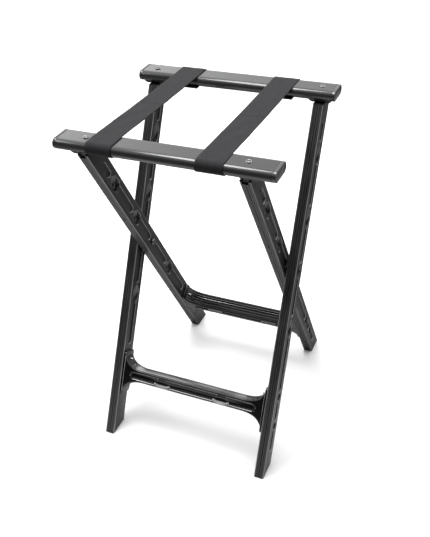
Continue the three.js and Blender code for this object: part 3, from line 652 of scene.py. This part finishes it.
def make_brace(name, length):
    end = (length - PLATE[0]) / 2
    start = end - FLARE_LENGTH
    brace = block(name, (2 * start, BRACE_DEPTH, BRACE_HEIGHT))
    round_edges(brace, along(0), 0.0042, 5)
    edit(brace)
    for valley in VALLEYS:
        slice_across((valley - VALLEY_HALF_WIDTH, valley, valley + VALLEY_HALF_WIDTH), 1)
    flat = BRACE_HEIGHT / 2 - 1e-4
    pick(brace, "VERT", lambda v: abs(v.z) > flat and abs(v.y) < 0.0157)
    for y in sorted({round(v.co.y, 5) for v in bmesh.from_edit_mesh(brace.data).verts if v.select}):
        lift = CROWN_RISE * (1 - (y / CROWN_HALF_WIDTH) ** 2)
        if any(abs(y - valley) < 1e-4 for valley in VALLEYS):
            lift -= VALLEY_DEPTH
        for side in (-1, 1):
            pick(brace, "VERT", lambda v: side * v.z > flat - 0.0021 and abs(v.y - y) < 2e-5)
            bpy.ops.transform.translate(value=(0, 0, side * lift))
    for side in (-1, 1):
        x0, z0 = start, BRACE_HEIGHT / 2
        pick(brace, "FACE", lambda c, n: side * n.x > 0.99)
        for step in range(1, FLARE_STEPS + 1):
            x1, z1 = flare_point(step / FLARE_STEPS, start, end)
            bpy.ops.mesh.extrude_region_move(
                TRANSFORM_OT_translate={"value": (side * (x1 - x0), 0, 0)})
            for half in (-1, 1):
                pick(brace, "VERT", lambda v: abs(v.x - side * x1) < 1e-6 and half * v.z > 0.005)
                bpy.ops.transform.translate(value=(0, 0, half * (z1 - z0)))
            pick(brace, "FACE", lambda c, n: side * n.x > 0.99 and abs(c.x - side * x1) < 1e-6)
            x0, z0 = x1, z1
    leave_edit()
    front = -BRACE_DEPTH / 2
    groove = length - 2 * (PLATE[0] + GROOVE_END)
    for width, depth, rim in ((0.0170, 0.0012, 0.0009), (0.0105, 0.0045, 0.0012)):
        cutter = slot_cutter(width, groove + width - 0.011, depth, rim)
        cutter.data.transform(Matrix(((0, 0, 1), (-1, 0, 0), (0, -1, 0))).to_4x4())
        carve(brace, cutter, (0, front, 0))
    for side in (-1, 1):
        for size in ((0.0225, 0.0078, 0.0108), (0.0252, 0.0028, 0.0128)):
            bpy.ops.object.select_all(action="DESELECT")
            bpy.ops.mesh.primitive_uv_sphere_add(segments=40, ring_count=20, radius=1)
            cutter = bpy.context.object
            cutter.scale = size
            bpy.ops.object.transform_apply(location=True, rotation=True, scale=True)
            carve(brace, cutter, (side * EYE_OUT, front, -EYE_DOWN))
    ends = []
    for side in (-1, 1):
        plate = block("end_plate", PLATE)
        round_edges(plate, along(0), 0.009, 5)
        plate.data.transform(Matrix.Translation((side * end, 0, 0)))
        round_edges(plate, lambda a, b: abs(a.x - b.x) < 1e-6 and side * a.x < end, 0.0012, 3)
        ends.append(plate)
    bpy.ops.object.select_all(action="DESELECT")
    for piece in (*ends, brace):
        piece.select_set(True)
    bpy.context.view_layer.objects.active = brace
    bpy.ops.object.join()
    # Painted highlights: light lines on the front's crests and the crowned top, and a light crescent on
    # the lower floors of the eyes.
    mark_edges(brace, 0.0026, 0.07,
               lambda normal, centre: ((normal.y < -0.3 and abs(centre.z) < 0.0105)
                                       or abs(normal.z) > 0.9),
               lambda normal, centre: (centre.z < -0.0065 and normal.z > 0.35 and centre.y < -0.010
                                       and abs(abs(centre.x) - EYE_OUT) < 0.021))
    smooth(brace, 32)
    return brace


for frame_name in FRAMES:
    length = 2 * (LEG_X[frame_name] - face - GAP)
    piece = make_brace(f"{frame_name}_cross_brace", length)
    lean = -LEAN if frame_name == "outer" else LEAN
    piece.data.transform(Matrix.Translation((0, 0, PIVOT_HEIGHT)) @ Matrix.Rotation(lean, 4, "X")
                         @ Matrix.Translation((0, 0, BRACE_ALONG)))
    piece.data.materials.append(brace_plastic)
    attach(piece, frame_name + "_frame")
    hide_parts(f"{frame_name}_brace")


# Rails: grey extrusions with flat tops and full round noses, each closed by two moulded caps.
# Fine draw lines run along them, and two shallow grooves run along the underside.
RAIL_LENGTH = 0.470
RAIL_WIDTH = 0.060
RAIL_THICKNESS = 0.023
RAIL_TOP = 0.788
RAIL_AXIS = RAIL_TOP - RAIL_THICKNESS / 2
RAIL_Y = {"rear": HALF_SPREAD, "front": -HALF_SPREAD}
RAIL_FRAME = {"rear": "outer", "front": "inner"}
CAP_LENGTH = 0.007
NOSE_RADIUS = RAIL_THICKNESS / 2
RAIL_GROOVE_OUT = 0.013
RAIL_GROOVE_CUTS = (-0.0021, -0.0012, 0.0012, 0.0021)
RAIL_GROOVE_DEPTH = 0.0012
CAP_FACE = (0.053, 0.016)
rail_plastic = plastic("drawn_grey", (0.013, 0.0134, 0.0142), (0.036, 0.0367, 0.0389),
                       edge=0.12, gloss=0.15, dull=0.25, stretch=(0.05, 1, 1),
                       grain=500, mottle=60, bump=0.00004, coat=0.3)
cap_plastic = plastic("cap_charcoal", (0.018, 0.018, 0.019), (0.029, 0.029, 0.030),
                      edge=0.16, gloss=0.22, dull=0.34, stretch=(1, 1, 1),
                      grain=600, mottle=30, bump=0.00003, coat=0.4)


def nose_bar(name, length):
    bar = block(name, (length, RAIL_WIDTH, RAIL_THICKNESS))
    round_edges(bar, along(0), NOSE_RADIUS * 0.998, 16)
    return bar


def at_end(x):
    return lambda a, b: abs(a.x - x) < 1e-6 and abs(b.x - x) < 1e-6


body_end = RAIL_LENGTH / 2 - CAP_LENGTH - GAP
for rail, y in RAIL_Y.items():
    piece = nose_bar(f"{rail}_top_rail", 2 * body_end)
    edit(piece)
    for place in (-RAIL_GROOVE_OUT, RAIL_GROOVE_OUT):
        slice_across([place + cut for cut in RAIL_GROOVE_CUTS], 1)
        pick(piece, "VERT", lambda v: v.z < 0 and abs(v.y - place) < 0.0015)
        bpy.ops.transform.translate(value=(0, 0, RAIL_GROOVE_DEPTH))
    leave_edit()
    for x in (-body_end, body_end):
        round_edges(piece, at_end(x), 0.0005, 2)
    smooth(piece, 32)
    piece.data.transform(Matrix.Translation((0, y, RAIL_AXIS)))
    piece.data.materials.append(rail_plastic)
    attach(piece, RAIL_FRAME[rail] + "_frame")
    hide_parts(f"{rail}_rail")
    for side, outward in (("left", -1), ("right", 1)):
        cap = nose_bar(f"{rail}_{side}_end_cap", CAP_LENGTH)
        round_edges(cap, at_end(CAP_LENGTH / 2), 0.0034, 6)
        round_edges(cap, at_end(-CAP_LENGTH / 2), 0.0005, 2)
        edit(cap)
        pick(cap, "FACE", lambda c, n: n.x > 0.99)
        for shrink, sink in ((0.0020, 0), (0.0006, -0.0010)):
            bpy.ops.mesh.extrude_region_move(TRANSFORM_OT_translate={"value": (sink, 0, 0)})
            narrower = [1 - 2 * shrink / across for across in CAP_FACE]
            bpy.ops.transform.resize(value=(1, *narrower))
        leave_edit()
        # Painted highlight: a light rim round the cap's recessed end face.
        mark_edges(cap, 0.0015, 0, lambda normal, centre: normal.x > 0.3)
        smooth(cap, 32)
        turn = Matrix.Rotation(0 if outward > 0 else math.pi, 4, "Z")
        place = (outward * (RAIL_LENGTH / 2 - CAP_LENGTH / 2), y, RAIL_AXIS)
        cap.data.transform(Matrix.Translation(place) @ turn)
        cap.data.materials.append(cap_plastic)
        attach(cap, RAIL_FRAME[rail] + "_frame")
        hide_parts(f"{rail}_rail_cap_{side}")


# Saddles: dark moulded seats between each rail and leg, stepped in below, whose tongues reach
# down inside the legs. A screw with a bright ringed head holds each rail through its saddle.
saddle_plastic = plastic("saddle_black", (0.008, 0.008, 0.008), (0.016, 0.016, 0.016),
                         edge=0.08, gloss=0.38, dull=0.5, stretch=(1, 1, 1),
                         grain=700, mottle=40, bump=0.00004)
SADDLE_OUTBOARD = 0.015
SADDLE_INBOARD = {"outer": 0.013, "inner": 0.0}
SADDLE_TOP = RAIL_TOP - RAIL_THICKNESS - GAP
SADDLE_DEPTH = 0.042
SADDLE_THICKNESS = 0.006
SADDLE_STEP = 0.0028
TONGUE = (0.013, 0.028, 0.064)
rail_screw = turned_head("rail_screw_pattern", [
    (0.0020, -0.044), (0.0025, -0.043), (0.0025, 0), (0.0058, 0), (0.0060, 0.0004), (0.0058, 0.0012),
    (0.0052, 0.0017), (0.0045, 0.0015), (0.0041, 0.0005)], 32)
# The drive is a shallow dish in blackened steel: its dark centre is painted shade standing in for a
# deeper recess.
drive = turned_head("drive_pattern", [(0.0041, -0.0002), (0.0041, 0.0005), (0.0026, 0.0006),
                                      (0.0022, 0.0002), (0.0004, 0.0001)], 24)
for pattern in (rail_screw, drive):
    pattern.data.transform(Matrix.Rotation(-math.pi / 2, 4, "Y"))
rail_screw.data.materials.append(plated_steel)
drive.data.materials.append(blackened_steel)
bpy.ops.object.select_all(action="DESELECT")
for piece in (drive, rail_screw):
    piece.select_set(True)
bpy.context.view_layer.objects.active = rail_screw
bpy.ops.object.join()
for rail, y in RAIL_Y.items():
    frame_name = RAIL_FRAME[rail]
    for side, outward in (("left", -1), ("right", 1)):
        outer_reach = LEG_THICKNESS / 2 + SADDLE_OUTBOARD
        inner_reach = LEG_THICKNESS / 2 + SADDLE_INBOARD[frame_name]
        width = outer_reach + inner_reach
        saddle = block(f"{rail}_{side}_saddle", (width, SADDLE_DEPTH, SADDLE_THICKNESS),
                       (0, 0, -SADDLE_THICKNESS / 2))
        edit(saddle)
        slice_across((-SADDLE_STEP,), 2)
        pick(saddle, "VERT", lambda v: v.z < -0.0035)
        bpy.ops.transform.resize(value=(1 - 0.012 / width, 0.9, 1), center_override=(0, 0, 0))
        pick(saddle, "VERT", lambda v: abs(v.z + SADDLE_STEP) < 1e-5)
        bpy.ops.transform.resize(value=(1 - 0.004 / width, 0.97, 1), center_override=(0, 0, 0))
        leave_edit()
        round_edges(saddle, lambda a, b: True, 0.0005, 2)
        saddle.data.transform(Matrix.Translation(((outer_reach - inner_reach) / 2, 0, 0)))
        tongue = block("tongue", TONGUE, (0, 0, -0.030))
        round_edges(tongue, along(2), 0.002, 3)
        lean = LEAN if y > 0 else -LEAN
        tongue.data.transform(Matrix.Translation((0, 0, -0.004)) @ Matrix.Rotation(-lean, 4, "X"))
        edit(tongue)
        bpy.ops.mesh.select_all(action="SELECT")
        bpy.ops.mesh.bisect(plane_co=(0, 0, -0.003), plane_no=(0, 0, 1), use_fill=True,
                            clear_outer=True)
        leave_edit()
        bpy.ops.object.select_all(action="DESELECT")
        for part in (tongue, saddle):
            part.select_set(True)
        bpy.context.view_layer.objects.active = saddle
        bpy.ops.object.join()
        smooth(saddle, 32)
        flip = Matrix.Scale(outward, 4, (1, 0, 0))
        saddle.data.transform(Matrix.Translation((outward * LEG_X[frame_name], y, SADDLE_TOP)) @ flip)
        if outward < 0:
            saddle.data.flip_normals()
        saddle.data.materials.append(saddle_plastic)
        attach(saddle, frame_name + "_frame")
        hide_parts(f"{rail}_saddle_{side}")
        screw = rail_screw.copy()
        screw.data = rail_screw.data.copy()
        screw.name = f"{rail}_{side}_rail_screw"
        bpy.context.scene.collection.objects.link(screw)
        screw.data.transform(Matrix.Translation((outward * LEG_X[frame_name], y, RAIL_TOP + GAP)))
        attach(screw, frame_name + "_frame")
        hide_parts(f"{rail}_rail_screw_{side}")
bpy.data.objects.remove(rail_screw)


# Straps: two lengths of flat woven black nylon webbing. Each passes over both rails, round
# their outer noses and back underneath, where two short screws hold each tail.
STRAP_WIDTH = 0.058
STRAP_THICKNESS = 0.0016
STRAPS = {"left": (-0.131, -0.115), "right": (0.105, 0.112)}
HALF_JOIN = 0.00015
NOSE_Y = HALF_SPREAD - (RAIL_WIDTH / 2 - NOSE_RADIUS)
OUTER_NOSE_Y = HALF_SPREAD + (RAIL_WIDTH / 2 - NOSE_RADIUS)
WRAP_RADIUS = NOSE_RADIUS + GAP + STRAP_THICKNESS / 2
SPAN = NOSE_Y - HALF_JOIN
OVER = OUTER_NOSE_Y - NOSE_Y
ROUND = math.pi * WRAP_RADIUS
STRAP_LENGTH = SPAN + 2 * OVER + ROUND
TAIL_LENGTH = 0.0135
STITCHES = 15
STITCH_PITCH = 0.0036
SAG = 0.0012
TAIL_SCREW_OUT = 0.018
TAIL_SCREW_HEIGHT = 0.7628
ROWS = 260


def strap_path(distance):
    """Height and distance from the rack's middle, this far along a strap from its own middle."""
    top = RAIL_AXIS + WRAP_RADIUS
    if distance < SPAN:
        sag = SAG * (1 - (distance / SPAN) ** 2) ** 2
        return HALF_JOIN + distance, top - sag
    if distance < SPAN + OVER:
        return NOSE_Y + distance - SPAN, top
    if distance < SPAN + OVER + ROUND:
        turn = (distance - SPAN - OVER) / WRAP_RADIUS
        return (OUTER_NOSE_Y + WRAP_RADIUS * math.sin(turn),
                RAIL_AXIS + WRAP_RADIUS * math.cos(turn))
    return OUTER_NOSE_Y - (distance - SPAN - OVER - ROUND), RAIL_AXIS - WRAP_RADIUS


def weave_group():
    """Flat webbing: warp ribs crossed by weft picks, which pass over and under by turns."""
    group = bpy.data.node_groups.new("webbing_weave", "ShaderNodeTree")
    group.interface.new_socket("Vector", in_out="INPUT", socket_type="NodeSocketVector")
    for name in ("Ribs", "Picks"):
        group.interface.new_socket(name, in_out="INPUT", socket_type="NodeSocketFloat")
    for name in ("Height", "Tone"):
        group.interface.new_socket(name, in_out="OUTPUT", socket_type="NodeSocketFloat")

    def maths(operation, *inputs):
        node = add_node(group, "ShaderNodeMath", operation=operation)
        for i, value in enumerate(inputs):
            if isinstance(value, (int, float)):
                node.inputs[i].default_value = value
            else:
                group.links.new(value, node.inputs[i])
        return node.outputs[0]

    start = add_node(group, "NodeGroupInput")
    parts = add_node(group, "ShaderNodeSeparateXYZ", links={"Vector": start.outputs["Vector"]})
    across = maths("MULTIPLY", parts.outputs["X"], start.outputs["Ribs"])
    along_it = maths("MULTIPLY", parts.outputs["Y"], start.outputs["Picks"])
    step = maths("FLOOR", across)
    shifted = maths("ADD", along_it, maths("MULTIPLY", step, 0.5))
    rib = maths("ABSOLUTE", maths("SINE", maths("MULTIPLY", across, math.pi)))
    pick_wave = maths("ABSOLUTE", maths("SINE", maths("MULTIPLY", shifted, math.pi)))
    over_under = maths("ADD", maths("MULTIPLY", pick_wave, 0.6), 0.4)
    height = maths("MULTIPLY", maths("POWER", rib, 0.6), over_under)
    fuzz = add_node(group, "ShaderNodeTexNoise", {"Scale": 900.0, "Detail": 3.0, "Roughness": 0.7},
                    {"Vector": start.outputs["Vector"]})
    tone = maths("ADD", maths("MULTIPLY", height, 0.6), maths("MULTIPLY", fuzz.outputs["Fac"], 0.4))
    add_node(group, "NodeGroupOutput", links={"Height": height, "Tone": tone})
    return group


webbing = bpy.data.materials.new("black_webbing")
webbing.use_nodes = True
tree = webbing.node_tree
shader = tree.nodes["Principled BSDF"]
where = add_node(tree, "ShaderNodeTexCoord")
woven = add_node(tree, "ShaderNodeGroup", node_tree=weave_group())
woven.inputs["Ribs"].default_value = 560
woven.inputs["Picks"].default_value = 430
tree.links.new(where.outputs["UV"], woven.inputs["Vector"])
wear_and_highlight = add_node(tree, "ShaderNodeTexNoise", {"Scale": 190.0, "Detail": 4.0, "Roughness": 0.7},
                {"Vector": where.outputs["Object"]})
yarn = add_node(tree, "ShaderNodeMix", {6: (0.004, 0.004, 0.0046, 1), 7: (0.016, 0.016, 0.0179, 1)},
                {0: woven.outputs["Tone"]}, data_type="RGBA")
faded = add_node(tree, "ShaderNodeMix", {7: (0.018, 0.018, 0.0201, 1)}, {6: yarn.outputs[2]},
                 data_type="RGBA")
patch = add_node(tree, "ShaderNodeMapRange",
                 {"From Min": 0.42, "From Max": 0.64, "To Min": 0.0, "To Max": 0.8},
                 {"Value": wear_and_highlight.outputs["Fac"]})
tree.links.new(patch.outputs["Result"], faded.inputs[0])
raised = add_node(tree, "ShaderNodeBump", {"Strength": 0.8, "Distance": 0.0004},
                  {"Height": woven.outputs["Height"]})
tree.links.new(faded.outputs[2], shader.inputs["Base Color"])
tree.links.new(raised.outputs["Normal"], shader.inputs["Normal"])
shader.inputs["Roughness"].default_value = 0.72
shader.inputs["Sheen Weight"].default_value = 0.06
shader.inputs["Sheen Roughness"].default_value = 0.4
shader.inputs["Specular IOR Level"].default_value = 0.2

thread = plastic("black_thread", (0.010, 0.010, 0.011), (0.030, 0.030, 0.032),
                 edge=0.03, gloss=0.5, dull=0.7, stretch=(1, 1, 1),
                 grain=3000, mottle=400, bump=0.00004)

tail_screw = turned_head("tail_screw_pattern", [
    (0.0012, -0.0068), (0.0018, -0.0060), (0.0018, 0), (0.0040, 0), (0.0042, 0.0004), (0.0036, 0.0012),
    (0.0016, 0.0015), (0.0013, 0.0008), (0.0003, 0.0007)], 20)
tail_screw.data.transform(Matrix.Rotation(math.pi / 2, 4, "Y"))
for side, (front_x, rear_x) in STRAPS.items():
    for rail, rail_x, towards in (("front", front_x, -1), ("rear", rear_x, 1)):
        middle_x = (front_x + rear_x) / 2
        bpy.ops.object.select_all(action="DESELECT")
        bpy.ops.mesh.primitive_grid_add(x_subdivisions=12, y_subdivisions=ROWS, size=1)
        strap = bpy.context.object
        strap.name = f"{side}_{rail}_webbing"
        layer = strap.data.uv_layers.active
        for loop in strap.data.loops:
            point = strap.data.vertices[loop.vertex_index].co
            layer.data[loop.index].uv = (point.x * STRAP_WIDTH, (point.y + 0.5) * STRAP_LENGTH)
        for vertex in strap.data.vertices:
            across, distance = vertex.co.x * STRAP_WIDTH, (vertex.co.y + 0.5) * STRAP_LENGTH
            y, z = strap_path(distance)
            share = min(distance / SPAN, 1)
            ripple = 0.0003 * math.sin(across * 160 + distance * 70) * math.sin(math.pi * share)
            past = (distance - SPAN) / (OVER + ROUND / 2)
            crease = 0.5 + 0.5 * math.sin(across * 190 + 1.6 * math.sin(distance * 75 + front_x * 30))
            swell = 0.0005 * crease * max(0, math.sin(math.pi * min(max(past, 0), 1)))
            turn = min(max((distance - SPAN - OVER) / WRAP_RADIUS, 0), math.pi)
            y, z = y + swell * math.sin(turn), z + swell * math.cos(turn)
            vertex.co = (middle_x + (rail_x - middle_x) * share + across, towards * y, z + ripple)
        thick = strap.modifiers.new("thickness", "SOLIDIFY")
        thick.thickness = STRAP_THICKNESS
        thick.offset = 0
        rounded = strap.modifiers.new("selvedge", "BEVEL")
        rounded.width = 0.0005
        rounded.segments = 2
        rounded.angle_limit = math.radians(60)
        bpy.ops.object.modifier_apply(modifier="thickness")
        bpy.ops.object.modifier_apply(modifier="selvedge")
        edit(strap)
        bpy.ops.mesh.select_all(action="SELECT")
        bpy.ops.mesh.normals_make_consistent(inside=False)
        leave_edit()
        smooth(strap, 40)
        strap.data.materials.append(webbing)
        frame_body = RAIL_FRAME[rail] + "_frame"
        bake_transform(strap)
        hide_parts(f"{side}_strap_{rail}_wrap", f"{side}_strap_{rail}_half")
        hem = block(f"{side}_{rail}_tail_hem", (STRAP_WIDTH, TAIL_LENGTH, 1.1 * STRAP_THICKNESS))
        round_edges(hem, lambda a, b: abs(a.y - b.y) < 1e-6 and abs(a.z - b.z) < 1e-6, 0.0007, 3)
        hem.data.materials.append(webbing)
        hem.data.materials.append(thread)
        lay_grain(hem)
        stitches = []
        for number in range(STITCHES):
            x = (number - (STITCHES - 1) / 2) * STITCH_PITCH
            stitch = block("stitch", (0.0026, 0.0006, 0.0006), (x, 0, -0.55 * STRAP_THICKNESS))
            round_edges(stitch, lambda a, b: True, 0.00018, 1)
            stitch.data.materials.append(thread)
            stitches.append(stitch)
        bpy.ops.object.select_all(action="DESELECT")
        for part in (*stitches, hem):
            part.select_set(True)
        bpy.context.view_layer.objects.active = hem
        bpy.ops.object.join()
        smooth(hem, 40)
        tail_y = towards * (NOSE_Y - GAP - TAIL_LENGTH / 2)
        hem.data.transform(Matrix.Translation((rail_x, tail_y, RAIL_AXIS - WRAP_RADIUS - 0.00008)))
        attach(hem, frame_body)
        for number, offset in ((1, -TAIL_SCREW_OUT), (2, TAIL_SCREW_OUT)):
            screw = tail_screw.copy()
            screw.data = tail_screw.data.copy()
            screw.name = f"{side}_{rail}_tail_screw_{number}"
            bpy.context.scene.collection.objects.link(screw)
            across = offset if towards > 0 else -offset
            screw.data.transform(Matrix.Translation((rail_x + across, RAIL_Y[rail], TAIL_SCREW_HEIGHT)))
            screw.data.materials.append(plated_steel)
            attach(screw, frame_body)
            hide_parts(f"{side}_strap_{rail}_screw_{number}")
bpy.data.objects.remove(tail_screw)

low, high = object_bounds()
